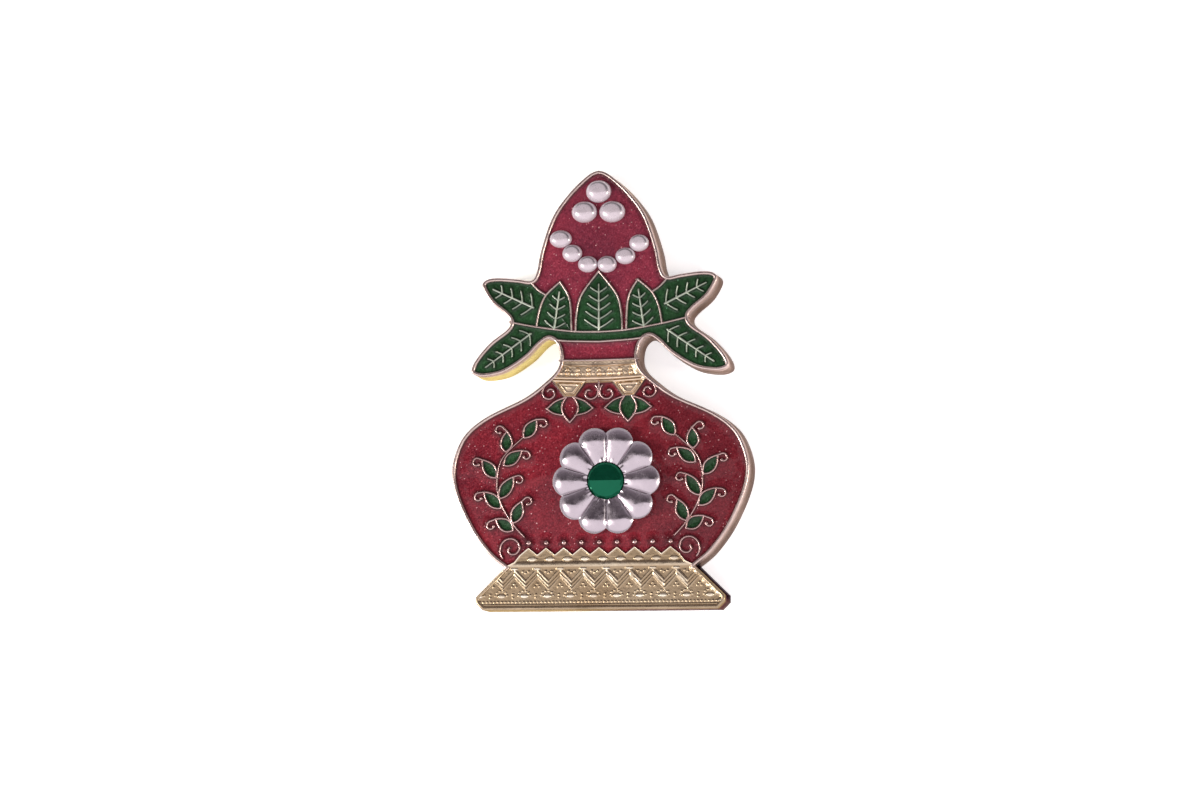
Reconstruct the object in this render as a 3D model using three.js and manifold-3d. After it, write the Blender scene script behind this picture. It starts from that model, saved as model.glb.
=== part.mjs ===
// A kalash plaque: a flat ornament in the shape of a pot-bellied water pot that is crowned
// with five mango leaves and a coconut. It lies on its back. +X is to its right, +Y points
// to the coconut's tip and +Z comes out of its front. The origin is in the middle of its
// back face, and every size is in millimetres.
//
// From the back it is built up as a back plate, a bond film, a cast front plate with raised
// rims and lines, enamel in every cell between the lines, and stones glued onto the enamel.

import * as THREE from 'three';
import { mergeVertices } from 'three/addons/utils/BufferGeometryUtils.js';
import Module from 'manifold-3d';

const wasm = await Module();
wasm.setup();

// ---------------------------------------------------------------- driving dimensions

const height = 65;
const width = 44.6;
const thickness = 5;
const castingThickness = 1.2;
const filmThickness = 0.2;
const lip = 0.12;               // how far the back plate reaches out beyond the front casting
const rimWidth = 0.5;
const lineWidth = 0.28;
const veinWidth = 0.2;
const enamelFit = 0.04;         // clearance between the enamel and the metal round it

const footWidth = 37.2;
const footLength = 6.3;         // from the pot's waist to the edge that it stands on
const footCorner = 1.1;

const toothPitch = 2.64;
const toothHeight = 1.05;
const beadDiameter = 0.75;

const flowerDiameter = 16;
const flowerCentre = [1.3, -13.74];
const petalCount = 10;

// ---------------------------------------------------------------- levels, from the back

const filmTop = thickness - castingThickness;
const plateTop = filmTop - filmThickness;
const floorTop = filmTop + 0.35;
const rimTop = thickness;
const enamelTop = rimTop - 0.35;
const reliefTop = rimTop - 0.2;

const top = height / 2;
const bottom = -height / 2;
const side = width / 2;
const waist = bottom + footLength;
const footSide = footWidth / 2;

// ---------------------------------------------------------------- points in the plane

const mirrored = (points) => points.map(([x, y]) => [-x, y]);

/** Joins a right half, listed from one end to the axis or from the axis out, to its mirror. */
const bothSides = (half) => [...mirrored(half), ...half.filter(([x]) => x > 0).reverse()];

const vectors = (points) => points.map(([x, y]) => new THREE.Vector2(x, y));

const anticlockwise = (points) =>
  (THREE.ShapeUtils.isClockWise(vectors(points)) ? [...points].reverse() : points);

/** A smooth run through a few points, with a number of steps between each two. */
function smooth(points, steps = 2) {
  const curve = new THREE.SplineCurve(vectors(points));
  return curve.getPoints(steps * (points.length - 1)).map(({ x, y }) => [x, y]);
}

/** Moves a polyline to its left by a distance, with mitred corners. */
function offset(points, distance, closed) {
  const last = points.length - 1;
  const at = (i) => (closed ? points[(i + points.length) % points.length] : points[i]);
  const normal = ([x0, y0], [x1, y1]) => {
    const length = Math.hypot(x1 - x0, y1 - y0);
    return [(y0 - y1) / length, (x1 - x0) / length];
  };
  return points.map((point, i) => {
    const before = !closed && i === 0 ? null : normal(at(i - 1), point);
    const after = !closed && i === last ? null : normal(point, at(i + 1));
    const [ax, ay] = before ?? after;
    const [bx, by] = after ?? before;
    const stretch = distance / (1 + ax * bx + ay * by);
    return [point[0] + (ax + bx) * stretch, point[1] + (ay + by) * stretch];
  });
}

/** A spiral from its outer end to its inner end. Angles are in degrees. */
function spiral([x, y], outerRadius, innerRadius, start, sweep) {
  const steps = Math.ceil(Math.abs(sweep) / 45);
  return Array.from({ length: steps + 1 }, (_, i) => {
    const done = i / steps;
    const radius = innerRadius + (outerRadius - innerRadius) * (1 - done) ** 0.9;
    const angle = THREE.MathUtils.degToRad(start + sweep * done);
    return [x + radius * Math.cos(angle), y + radius * Math.sin(angle)];
  });
}

/** A leaf that is pointed at its base and its tip, listed anticlockwise from the base. */
function leafOutline([bx, by], [tx, ty], halfWidth) {
  const steps = 4;
  const place = (along, across) =>
    [bx + (tx - bx) * along - (ty - by) * across, by + (ty - by) * along + (tx - bx) * across];
  const bulge = halfWidth / Math.hypot(tx - bx, ty - by);
  const half = Array.from({ length: steps - 1 }, (_, i) => {
    const along = (i + 1) / steps;
    return [along, bulge * Math.sin(Math.PI * along ** 0.85) ** 0.9];
  });
  return [
    [bx, by],
    ...half.map(([along, across]) => place(along, -across)),
    [tx, ty],
    ...half.reverse().map(([along, across]) => place(along, across)),
  ];
}

// ---------------------------------------------------------------- solids

/** A closed geometry as a solid that can be joined and cut. */
function solid(geometry) {
  geometry.deleteAttribute('normal');
  geometry.deleteAttribute('uv');
  const merged = mergeVertices(geometry);
  const vertProperties = Float32Array.from(merged.attributes.position.array);
  const triVerts = Uint32Array.from(merged.index.array);
  return new wasm.Manifold(new wasm.Mesh({ numProp: 3, vertProperties, triVerts }));
}

const join = (solids) => solids.reduce((sum, next) => sum.add(next));

/** A flat plate between two levels, with an outline and possibly a hole. */
function slab(outline, low, high, hole) {
  const shape = new THREE.Shape(vectors(outline));
  if (hole) shape.holes.push(new THREE.Path(vectors(hole)));
  const geometry = new THREE.ExtrudeGeometry(shape, { depth: high - low, bevelEnabled: false });
  return solid(geometry.translate(0, 0, low));
}

/** A raised line along a path. It is a band of even width, closed or with square ends. */
function ribbon({ path, closed = false, breadth = lineWidth }, low, high, clearance = 0) {
  const reach = breadth / 2 + clearance;
  const run = closed ? anticlockwise(path) : path;
  const left = offset(run, reach, closed);
  const right = offset(run, -reach, closed);
  return closed ? slab(right, low, high, left) : slab([...right, ...left.reverse()], low, high);
}

/** A turned stone that stands on the enamel, stretched to an oval. */
function turnedStone(profile, [x, y], [radiusX, radiusY], low, segments) {
  const geometry = new THREE.LatheGeometry(vectors(profile), segments);
  geometry.rotateX(Math.PI / 2);
  geometry.scale(radiusX, radiusY, 1);
  return solid(geometry.translate(x, y, low));
}

// ---------------------------------------------------------------- silhouette

const notch = [13.45, 10.15];   // between the upper and the lower mango leaf
const neckTop = 4.2;

const coconutSide = [[0, top], [1.6, 31.85], [4.5, 29.2], [7.1, 25.6], [8.8, 20.8], [9.45, 17.6]];
const upperLeafEdge = [
  [10.25, 16.35], [12.2, 16.6], [15.2, 16.9], [17.1, 16.65], [17.75, 15.55], [16.4, 13.15],
  [14.2, 11.25],
];
const lowerLeafEdge = [
  notch, [14, 9.05], [16.5, 7.2], [18.6, 4.85], [19.4, 3.15], [18.9, 2.3], [17.2, 2], [14.2, 2.6],
  [10.9, 4.6], [8.7, 6.7],
];
const potSide = [
  [7.4, 7.35], [6.3, 6.4], [5.9, 4.5], [6.35, 2.9], [7.9, 1.3], [11.2, -1.1], [17, -3.8],
  [20.3, -6.4], [21.9, -9.6], [side, -12.7], [21.45, -16.2], [19.3, -20.7], [16.7, -24.2],
  [14.3, waist],
];
const footEdge = [
  [footSide, bottom + 2.1], [footSide, bottom + footCorner], [footSide - footCorner, bottom],
];
const silhouette = bothSides([
  ...smooth([...coconutSide, ...upperLeafEdge, ...lowerLeafEdge, ...potSide]),
  ...footEdge,
]);
const face = offset(silhouette, lip, true);

// ---------------------------------------------------------------- raised lines

const bandTop = bothSides(smooth([notch, [9.45, 9.3], [4.1, 8.5], [0, 8.3]]));
const bandBottom = bothSides(smooth([[7.4, 7.5], [5.1, 7.1], [0, 6.85]]));

const centreLeaf = bothSides([...smooth([[3.5, 8.45], [3.35, 11.2], [2.6, 13.9], [0, 17.3]])]);
const innerLeaf = [
  ...smooth([[9.45, 9.3], [8.95, 11.9], [7.95, 14], [5.85, 15.9]]).slice(0, -1),
  ...smooth([[5.85, 15.9], [4.4, 13.2], [4.1, 8.5]]),
];
const upperLeafBase = [[7.95, 14], [10.2, 15.9]];

const lotusCentre = 4.35;
const lotusPetal = bothSides(smooth([[0.5, -1.2], [1.2, -2.4], [0.95, -3.8], [0, -4.95]]));
const lotusWing = [
  ...smooth([[0.8, -3.95], [2.4, -3.6], [3.46, -2.9]]).slice(0, -1),
  ...smooth([[3.46, -2.9], [2.2, -1.85], [0.5, -1.2]]).slice(0, -1),
  ...smooth([[0.5, -1.2], [1.2, -2.4], [0.95, -3.8]]).slice(0, -1),
];

const vineStem = smooth([
  [11.2, -21.7], [12.9, -19.8], [14.6, -17], [15.35, -13.8], [14.6, -10.2], [11.35, -7],
]);
// Each leaf of a vine has its base, its tip and the centre of the curl that its tip ends in.
const vineLeaves = [
  { base: [11.2, -7.1], tip: [9.38, -4.43], curl: [8.4, -5.07] },
  { base: [14, -9.1], tip: [13.82, -6.09], curl: [15, -5.9] },
  { base: [14.3, -11.1], tip: [11.62, -8.98], curl: [10.95, -9.74] },
  { base: [15.5, -12.9], tip: [17.57, -10.23], curl: [18.42, -10.62] },
  { base: [14.95, -15.95], tip: [12.86, -12.84], curl: [12.02, -13.3] },
  { base: [14.75, -17.4], tip: [17.29, -14.99], curl: [18.12, -15.75] },
  { base: [12.9, -19.6], tip: [11.58, -16.48], curl: [10.65, -16.5] },
  { base: [12.9, -20.7], tip: [15.47, -19], curl: [16.25, -19.98] },
];
const vineLeafHalfWidth = 0.86;
const curlRadius = 0.66;

const neckCurl = spiral([7.4, -0.55], 1.15, 0.4, 40, -360);
const tasselCurl = spiral([1.35, -0.65], 1.35, 0.35, 130, 315);
const footCurl = spiral([13.1, -23.4], 1.9, 0.4, -45, 420);

/** The curl at a leaf's tip: straight onto a small circle, then most of the way round it. */
function curlPath({ base, tip, curl }) {
  const turn = Math.sign((tip[0] - base[0]) * (curl[1] - tip[1]) - (tip[1] - base[1]) * (curl[0] - tip[0]));
  const distance = Math.hypot(tip[0] - curl[0], tip[1] - curl[1]);
  const toTip = THREE.MathUtils.radToDeg(Math.atan2(tip[1] - curl[1], tip[0] - curl[0]));
  const touch = toTip + turn * THREE.MathUtils.radToDeg(Math.acos(Math.min(1, curlRadius / distance)));
  return [tip, ...spiral(curl, curlRadius, curlRadius * 0.7, touch, turn * 216)];
}

/** A midrib with pairs of side veins that sweep forward from it and shorten to its tip. */
function veins([bx, by], [tx, ty], pairs, sideLength) {
  const spread = THREE.MathUtils.degToRad(52);
  const heading = Math.atan2(ty - by, tx - bx);
  const sideVein = (i, turn) => {
    const along = (i + 0.1) / pairs;
    const start = [bx + (tx - bx) * along, by + (ty - by) * along];
    const length = sideLength * (1 - 0.55 * along);
    const angle = heading + turn * spread;
    return [start, [start[0] + length * Math.cos(angle), start[1] + length * Math.sin(angle)]];
  };
  const paths = [[[bx, by], [tx, ty]]];
  for (let i = 0; i < pairs; i += 1) paths.push(sideVein(i, 1), sideVein(i, -1));
  return paths.map((path) => ({ path, breadth: veinWidth }));
}

const onBothSides = (path, closed) => [{ path, closed }, { path: mirrored(path), closed }];
const onLotuses = (path, closed) =>
  onBothSides(path.map(([x, y]) => [x + lotusCentre, y]), closed);
const mirroredVeins = (lines) =>
  [...lines, ...lines.map(({ path, breadth }) => ({ path: mirrored(path), breadth }))];

const lines = [
  { path: bandTop },
  { path: bandBottom },
  { path: centreLeaf, closed: true },
  ...onBothSides(innerLeaf, true),
  ...onBothSides(upperLeafBase),
  ...onLotuses(lotusPetal, true),
  ...onLotuses(lotusWing, true),
  ...onLotuses(mirrored(lotusWing), true),
  ...onBothSides(vineStem),
  ...vineLeaves.flatMap(({ base, tip }) =>
    onBothSides(leafOutline(base, tip, vineLeafHalfWidth), true)),
  ...vineLeaves.flatMap((leaf) => onBothSides(curlPath(leaf))),
  ...onBothSides(neckCurl),
  ...onBothSides(tasselCurl),
  ...onBothSides(footCurl),
  { path: [[0, 0.9], [0, -1.25]] },
  ...veins([0, 8.7], [0, 15.35], 5, 2.6),
  ...mirroredVeins(veins([6.75, 8.9], [5.95, 14.4], 4, 1.7)),
  ...mirroredVeins(veins([9.9, 12.2], [16, 15.1], 4, 1.9)),
  ...mirroredVeins(veins([10.3, 8.3], [17.1, 3.5], 5, 1.6)),
];

// ---------------------------------------------------------------- cast relief areas

const bandWing = 9;             // beyond the neck's sides, where the silhouette trims the band
const neckBand = bothSides([[bandWing, neckTop], [bandWing, 1.3], [7, 1.2], [0, 0.8]]);
const pendant = [[7.05, 1.4], [1.95, 1.2], [3.6, -1.3], [5.2, -1.3]];

const toothBase = waist + 1.8;
const teeth = Array.from({ length: 9 }, (_, i) => i - 4);
const lastTooth = 4.5 * toothPitch;
const footTop = [
  ...teeth.flatMap((i) => [
    [(i - 0.5) * toothPitch, toothBase],
    [i * toothPitch, toothBase + toothHeight],
  ]),
  [lastTooth, toothBase],
];
const footBeyond = footSide + 2;
const footArea = [
  ...footTop.reverse(), [-lastTooth - 0.8, waist + 0.8], [-14, waist + 0.3], [-footBeyond, waist],
  [-footBeyond, bottom - 1], [footBeyond, bottom - 1], [footBeyond, waist], [14, waist + 0.3],
  [lastTooth + 0.8, waist + 0.8],
];
const bead = ([x, y]) => Array.from({ length: 8 }, (_, i) => {
  const angle = (i + 0.5) * Math.PI / 4;
  return [x + beadDiameter / 2 * Math.cos(angle), y + beadDiameter / 2 * Math.sin(angle)];
});
const beads = teeth.map((i) => bead([i * toothPitch, toothBase + toothHeight + 0.75]));

/** A straight bar across the plaque between two heights. */
const bar = (low, high, reach) => [[-reach, low], [reach, low], [reach, high], [-reach, high]];
const ridges = [
  bar(neckTop - 0.8, neckTop - 0.3, bandWing),
  bar(1.35, 1.65, bandWing),
  bar(waist, waist + 0.8, lastTooth + 0.8),
  bar(bottom + 0.15, bottom + 0.65, footBeyond),
  bar(bottom + 1.9, bottom + 2.4, footBeyond),
];

// ---------------------------------------------------------------- materials

const metal = (color) => new THREE.MeshStandardMaterial({ color, metalness: 1, roughness: 0.3 });
const gloss = (color) => new THREE.MeshStandardMaterial({ color, metalness: 0, roughness: 0.12 });

const goldPlate = metal(0xc3a283);
const bondDark = new THREE.MeshStandardMaterial({ color: 0x2b2420, roughness: 0.8 });
const enamelRed = gloss(0x8a2433);
const enamelGreen = gloss(0x1c5a37);
const crystalClear = gloss(0xd7c8d7);
const crystalGreen = gloss(0x00693f);

// ---------------------------------------------------------------- assembly

const plaque = new THREE.Group();
plaque.name = 'kalash_plaque';

function addPart(name, body, material) {
  const { vertProperties, triVerts } = body.getMesh();
  const geometry = new THREE.BufferGeometry();
  geometry.setAttribute('position', new THREE.BufferAttribute(vertProperties, 3));
  geometry.setIndex(new THREE.BufferAttribute(triVerts, 1));
  geometry.computeVertexNormals();
  const mesh = new THREE.Mesh(geometry, material);
  mesh.name = name;
  plaque.add(mesh);
}

const sides = [['left', mirrored], ['right', (points) => points]];
const inRim = offset(face, rimWidth, true);
const above = floorTop - 0.2;   // raised work starts inside the floor, so that it is one casting

function addBackPlate() {
  addPart('back_plate', slab(silhouette, 0, plateTop), goldPlate);
  addPart('bond_film', slab(offset(face, 0.2, true), plateTop, filmTop), bondDark);
}

function addCasting() {
  const inside = slab(face, above, rimTop);
  const areas = [neckBand, pendant, mirrored(pendant), footArea];
  const raised = [
    ...lines.map((line) => ribbon(line, above, rimTop)),
    ...areas.map((area) => slab(area, above, reliefTop)),
    ...ridges.map((ridge) => slab(ridge, above, rimTop)),
    ...beads.map((outline) => slab(outline, above, rimTop)),
  ];
  const floor = slab(face, filmTop, floorTop);
  const rim = slab(face, above, rimTop, inRim);
  addPart('front_casting', floor.add(rim).add(join(raised).intersect(inside)), goldPlate);
}

/** Everything that the enamel keeps clear of: the raised lines, relief areas and beads. */
function enamelKeepOut() {
  const low = floorTop - 0.1;
  const high = enamelTop + 0.1;
  return join([
    ...lines.map((line) => ribbon(line, low, high, enamelFit)),
    ...[neckBand, footArea, pendant, mirrored(pendant), ...beads].map((area) =>
      slab(offset(anticlockwise(area), -enamelFit, true), low, high)),
  ]);
}

const inCell = (outline) => slab(outline, floorTop, enamelTop);

function addEnamel() {
  const pool = slab(offset(face, rimWidth + enamelFit, true), floorTop, enamelTop)
    .subtract(enamelKeepOut());
  const fill = (name, cell, material) => addPart(name, pool.intersect(cell), material);

  const outside = side + 1;
  const leafCells = sides.map(([, place]) => inCell(place(innerLeaf)));
  const centreCell = inCell(centreLeaf);
  const coconut = inCell(bothSides([[0, 8.3], [4.1, 8.5], [7.95, 14], [10.2, 15.9], [10.2, top + 1]]));
  fill('enamel_coconut', leafCells.reduce((rest, leaf) => rest.subtract(leaf),
    coconut.subtract(centreCell)), enamelRed);
  fill('enamel_neck', inCell([...bandBottom, [7.4, neckTop], [-7.4, neckTop]]), enamelRed);

  fill('enamel_leaf_centre', centreCell, enamelGreen);
  const droop = [[8.5, 1.5], [outside, 1.5], [outside, notch[1]]];
  const band = [...bandBottom, ...droop, ...[...bandTop].reverse(), ...mirrored(droop).reverse()];
  fill('enamel_leaf_band', inCell(band), enamelGreen);
  sides.forEach(([name, place], i) => {
    fill(`enamel_leaf_inner_${name}`, leafCells[i], enamelGreen);
    const upper = [
      [7.95, 14], [10.2, 15.9], [10.2, 18], [outside, 18], [outside, notch[1]], notch,
      [9.45, 9.3], [8.95, 11.9],
    ];
    fill(`enamel_leaf_upper_${name}`, inCell(place(upper)), enamelGreen);
  });

  let belly = inCell([[-outside, waist], [outside, waist], [outside, 1.4], [-outside, 1.4]]);
  const fillInBelly = (name, outline, material) => {
    const cell = inCell(outline);
    belly = belly.subtract(cell);
    fill(name, cell, material);
  };
  sides.forEach(([name, place]) => {
    const onLotus = (outline) => place(outline.map(([x, y]) => [x + lotusCentre, y]));
    const petalMaterial = name === 'left' ? enamelRed : enamelGreen;
    fillInBelly(`enamel_lotus_petal_${name}`, onLotus(lotusPetal), petalMaterial);
    fillInBelly(`enamel_lotus_outer_wing_${name}`, onLotus(lotusWing), enamelGreen);
    fillInBelly(`enamel_lotus_inner_wing_${name}`, onLotus(mirrored(lotusWing)), enamelGreen);
    vineLeaves.forEach(({ base, tip }, i) => {
      const outline = place(leafOutline(base, tip, vineLeafHalfWidth));
      fillInBelly(`enamel_vine_${name}_${i + 1}`, outline, enamelGreen);
    });
  });
  fill('enamel_belly', belly, enamelRed);
}

// A cabochon's profile: a flat back and a domed front, with a radius of 1 before it is stretched.
const dome = (rise) => [
  [0, 0], [0.94, 0], [1, 0.15 * rise], [0.86, 0.6 * rise], [0.5, 0.9 * rise], [0, rise],
];

const cabochons = {
  forehead: { centre: [0, 29.2], size: [3.8, 3.35], rise: 1.3 },
  cheek_left: { centre: [-2.15, 26.2], size: [3.85, 3.2], rise: 1.3 },
  cheek_right: { centre: [2.05, 26.1], size: [3.9, 3.2], rise: 1.3 },
  necklace_1: { centre: [-5.75, 22.3], size: [3.35, 2.65], rise: 1 },
  necklace_2: { centre: [-4, 20.1], size: [3, 2.6], rise: 1 },
  necklace_3: { centre: [-1.66, 18.4], size: [2.95, 2.45], rise: 1 },
  necklace_4: { centre: [1.25, 18.3], size: [2.9, 2.5], rise: 1 },
  necklace_5: { centre: [4, 19.45], size: [3, 2.5], rise: 1 },
  necklace_6: { centre: [6.05, 21.3], size: [2.95, 2.55], rise: 1 },
};

function addCabochons() {
  for (const [name, { centre, size, rise }] of Object.entries(cabochons)) {
    const radii = size.map((diameter) => diameter / 2);
    addPart(`cabochon_${name}`, turnedStone(dome(rise), centre, radii, enamelTop, 12), crystalClear);
  }
}

function addFlower() {
  const petalHeight = 2.2;
  const petalLength = 2.6;
  const petalHalfWidth = 2.05;
  const gemRadius = 2.75;
  const gemFit = 0.05;
  const wellFloor = enamelTop + 1;
  const reach = flowerDiameter / 2;

  const petal = (i) => {
    const geometry = new THREE.SphereGeometry(1, 12, 6);
    geometry.rotateX(Math.PI / 2);
    geometry.scale(petalLength, petalHalfWidth, petalHeight);
    geometry.translate(reach - petalLength, 0, 0);
    geometry.rotateZ(i * 2 * Math.PI / petalCount);
    return solid(geometry.translate(...flowerCentre, enamelTop));
  };
  const disc = (radius, low, high) =>
    turnedStone([[0, 0], [radius, 0], [radius, high - low], [0, high - low]],
      flowerCentre, [1, 1], low, 20);
  const petals = join(Array.from({ length: petalCount }, (_, i) => petal(i)));
  const body = petals.add(disc(reach * 0.66, enamelTop, wellFloor + 0.4))
    .intersect(disc(reach + 1, enamelTop, enamelTop + petalHeight + 1))
    .subtract(disc(gemRadius + gemFit, wellFloor, enamelTop + petalHeight + 1));
  addPart('flower_stone', body, crystalClear);

  const crown = [[0, 0], [2.2, 0], [gemRadius, 0.5], [2.05, 1.15], [0, 1.15]];
  addPart('flower_centre_gem', turnedStone(crown, flowerCentre, [1, 1], wellFloor, 16), crystalGreen);
}

addBackPlate();
addCasting();
addEnamel();
addCabochons();
addFlower();

export default plaque;
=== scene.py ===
import math

import bpy
import numpy as np
from mathutils import Matrix, Vector, kdtree
from mathutils.geometry import delaunay_2d_cdt


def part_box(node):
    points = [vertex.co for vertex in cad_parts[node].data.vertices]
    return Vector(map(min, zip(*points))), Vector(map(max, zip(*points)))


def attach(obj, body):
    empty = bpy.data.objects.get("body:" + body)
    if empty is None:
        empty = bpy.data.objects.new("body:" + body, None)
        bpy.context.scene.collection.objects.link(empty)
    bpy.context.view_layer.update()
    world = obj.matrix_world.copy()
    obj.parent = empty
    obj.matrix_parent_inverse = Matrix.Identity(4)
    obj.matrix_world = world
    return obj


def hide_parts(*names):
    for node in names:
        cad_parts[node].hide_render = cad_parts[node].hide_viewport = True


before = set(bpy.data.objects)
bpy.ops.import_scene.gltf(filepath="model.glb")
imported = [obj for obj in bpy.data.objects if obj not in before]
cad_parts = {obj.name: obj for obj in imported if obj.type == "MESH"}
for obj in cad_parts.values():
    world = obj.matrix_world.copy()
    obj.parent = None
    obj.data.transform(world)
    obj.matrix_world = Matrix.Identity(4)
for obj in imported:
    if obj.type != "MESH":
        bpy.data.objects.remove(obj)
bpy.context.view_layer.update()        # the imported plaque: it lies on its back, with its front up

# ------------------------------------------------------------------ sizes, in millimetres

MM = 0.001
LOW, HIGH = 0, 1


def level(node, corner):
    """The height of a CAD node's lowest or highest point."""
    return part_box(node)[corner].z / MM


PLATE_TOP = level("back_plate", HIGH)
FILM_TOP = level("bond_film", HIGH)
FLOOR_TOP = level("enamel_belly", LOW)
ENAMEL_TOP = level("enamel_belly", HIGH)
RIM_TOP = level("front_casting", HIGH)
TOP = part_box("back_plate")[HIGH].y / MM
BOTTOM = -TOP
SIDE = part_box("back_plate")[HIGH].x / MM

LIP = 0.12                   # how far the front casting is set in from the back plate
RIM = 0.5                    # the width of the casting's rim
LINE = 0.28                  # the width of a raised line
VEIN = 0.2                   # the width of a leaf vein
NECK_TOP = 4.2               # the top of the neck's relief band
WAIST = BOTTOM + 6.3         # where the belly meets the foot
FOOT_SIDE = 18.6             # half the foot's width
FOOT_CORNER = 1.1            # the chamfer at the foot's lower corners
TOOTH_PITCH = 2.64
TOOTH_BASE = WAIST + 1.8
TOOTH_HEIGHT = 1.05
LOTUS_X = 4.35

# ------------------------------------------------------------------ curves in the plane


def points(*pairs):
    return np.array(pairs, float)


def mirrored(path):
    return path * (-1, 1)


def both_sides(half):
    """Joins a right half that ends or starts on the axis to its mirror image."""
    return np.vstack([mirrored(half), half[half[:, 0] > 1e-9][::-1]])


def smooth(path, steps=8):
    """A Catmull-Rom run through a few points."""
    path = np.asarray(path, float)
    padded = np.vstack([path[:1], path, path[-1:]])
    t = (np.arange(steps) / steps)[:, None]
    runs = []
    for p0, p1, p2, p3 in zip(padded, padded[1:], padded[2:], padded[3:]):
        v0, v1 = (p2 - p0) / 2, (p3 - p1) / 2
        bend = (2 * (p1 - p2) + v0 + v1) * t**3 + (3 * (p2 - p1) - 2 * v0 - v1) * t**2
        runs.append(bend + v0 * t + p1)
    return np.vstack([*runs, path[-1:]])


def even(path, spacing, closed=False):
    """The same line with its points evenly spaced. Its corners are kept only roughly."""
    line = np.vstack([path, path[:1]]) if closed else path
    along = np.concatenate([[0], np.cumsum(np.linalg.norm(np.diff(line, axis=0), axis=1))])
    count = max(2, int(round(along[-1] / spacing)) + 1)
    places = np.linspace(0, along[-1], count)
    result = np.column_stack([np.interp(places, along, line[:, i]) for i in (0, 1)])
    return result[:-1] if closed else result


def bisectors(path, closed):
    """At each point, the mitred direction to the left that keeps an offset line parallel."""
    before, after = np.roll(path, 1, axis=0), np.roll(path, -1, axis=0)
    into, out = path - before, after - path
    if not closed:
        into[0], out[-1] = out[0], into[-1]
    into = into / np.maximum(np.linalg.norm(into, axis=1, keepdims=True), 1e-9)
    out = out / np.maximum(np.linalg.norm(out, axis=1, keepdims=True), 1e-9)
    left = np.column_stack([-into[:, 1] - out[:, 1], into[:, 0] + out[:, 0]])
    return left / np.maximum(1 + (into * out).sum(axis=1), 0.35)[:, None]


def offset(path, distance, closed=True):
    return path + bisectors(path, closed) * distance


def anticlockwise(path):
    x, y = path.T
    area = np.dot(x, np.roll(y, -1)) - np.dot(y, np.roll(x, -1))
    return path if area > 0 else path[::-1]


def inside(spots, outline):
    """Which spots are inside an outline."""
    x, y = spots[:, :1], spots[:, 1:]
    x0, y0 = outline.T
    x1, y1 = np.roll(outline, -1, axis=0).T
    rises = np.where(y1 == y0, 1e-12, y1 - y0)
    crosses = ((y0 > y) != (y1 > y)) & (x < (x1 - x0) * (y - y0) / rises + x0)
    return crosses.sum(axis=1) % 2 == 1


def spiral(centre, outer, inner, start, sweep):
    """A spiral from its outer end to its inner end, with its angles in degrees."""
    done = np.linspace(0, 1, max(6, int(abs(sweep) / 9)))
    radius = inner + (outer - inner) * (1 - done) ** 0.9
    angle = np.radians(start + sweep * done)
    return np.array(centre) + np.column_stack([radius * np.cos(angle), radius * np.sin(angle)])


def leaf_sides(base, tip, half_width):
    """The two edges of a leaf, each from its base to its tip."""
    base, tip = np.array(base), np.array(tip)
    along = np.linspace(0, 1, 14)[:, None]
    across = np.array([base[1] - tip[1], tip[0] - base[0]]) / np.linalg.norm(tip - base)
    swell = half_width * np.sin(np.pi * along**0.85) ** 0.9
    stem = base + (tip - base) * along
    return stem + across * swell, stem - across * swell


# ------------------------------------------------------------------ the drawing

notch = (13.45, 10.15)
coconut_side = [(0, TOP), (1.6, 31.85), (4.5, 29.2), (7.1, 25.6), (8.8, 20.8), (9.45, 17.6)]
upper_leaf_edge = [(10.25, 16.35), (12.2, 16.6), (15.2, 16.9), (17.1, 16.65), (17.75, 15.55),
                   (16.4, 13.15), (14.2, 11.25)]
lower_leaf_edge = [notch, (14, 9.05), (16.5, 7.2), (18.6, 4.85), (19.4, 3.15), (18.9, 2.3), (17.2, 2),
                   (14.2, 2.6), (10.9, 4.6), (8.7, 6.7)]
pot_side = [(7.4, 7.35), (6.3, 6.4), (5.9, 4.5), (6.35, 2.9), (7.9, 1.3), (11.2, -1.1), (17, -3.8),
            (20.3, -6.4), (21.9, -9.6), (SIDE, -12.7), (21.45, -16.2), (19.3, -20.7), (16.7, -24.2),
            (14.3, WAIST)]
foot_edge = points((FOOT_SIDE, BOTTOM + 2.1), (FOOT_SIDE, BOTTOM + FOOT_CORNER),
                   (FOOT_SIDE - FOOT_CORNER, BOTTOM))
silhouette = both_sides(np.vstack([smooth(coconut_side + upper_leaf_edge + lower_leaf_edge + pot_side),
                                   foot_edge]))
# The front casting is a little smaller all round than the back plate.
face = offset(silhouette, LIP)

band_top_half = smooth([notch, (9.45, 9.3), (4.1, 8.5), (0, 8.3)])
band_top = both_sides(band_top_half)
band_bottom = both_sides(smooth([(7.4, 7.5), (5.1, 7.1), (0, 6.85)]))
centre_leaf_half = smooth([(3.5, 8.45), (3.35, 11.2), (2.6, 13.9), (0, 17.3)])
centre_leaf = both_sides(centre_leaf_half)
inner_leaf_outside = smooth([(9.45, 9.3), (8.95, 11.9), (7.95, 14), (5.85, 15.9)])
inner_leaf_inside = smooth([(5.85, 15.9), (4.4, 13.2), (4.1, 8.5)])
inner_leaf = np.vstack([inner_leaf_outside[:-1], inner_leaf_inside])
upper_leaf_base = smooth([(7.95, 14), (9.1, 14.75), (10.2, 15.9)])

lotus_half = smooth([(0.5, -1.2), (1.2, -2.4), (0.95, -3.8), (0, -4.95)])
wing_top = smooth([(3.46, -2.9), (2.2, -1.85), (0.5, -1.2)])
wing_bottom = smooth([(0.8, -3.95), (2.4, -3.6), (3.46, -2.9)])
lotus_petal = both_sides(lotus_half)
lotus_wing = np.vstack([wing_bottom[:-1], wing_top[:-1], lotus_half[lotus_half[:, 1] > -3.9]])

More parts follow.
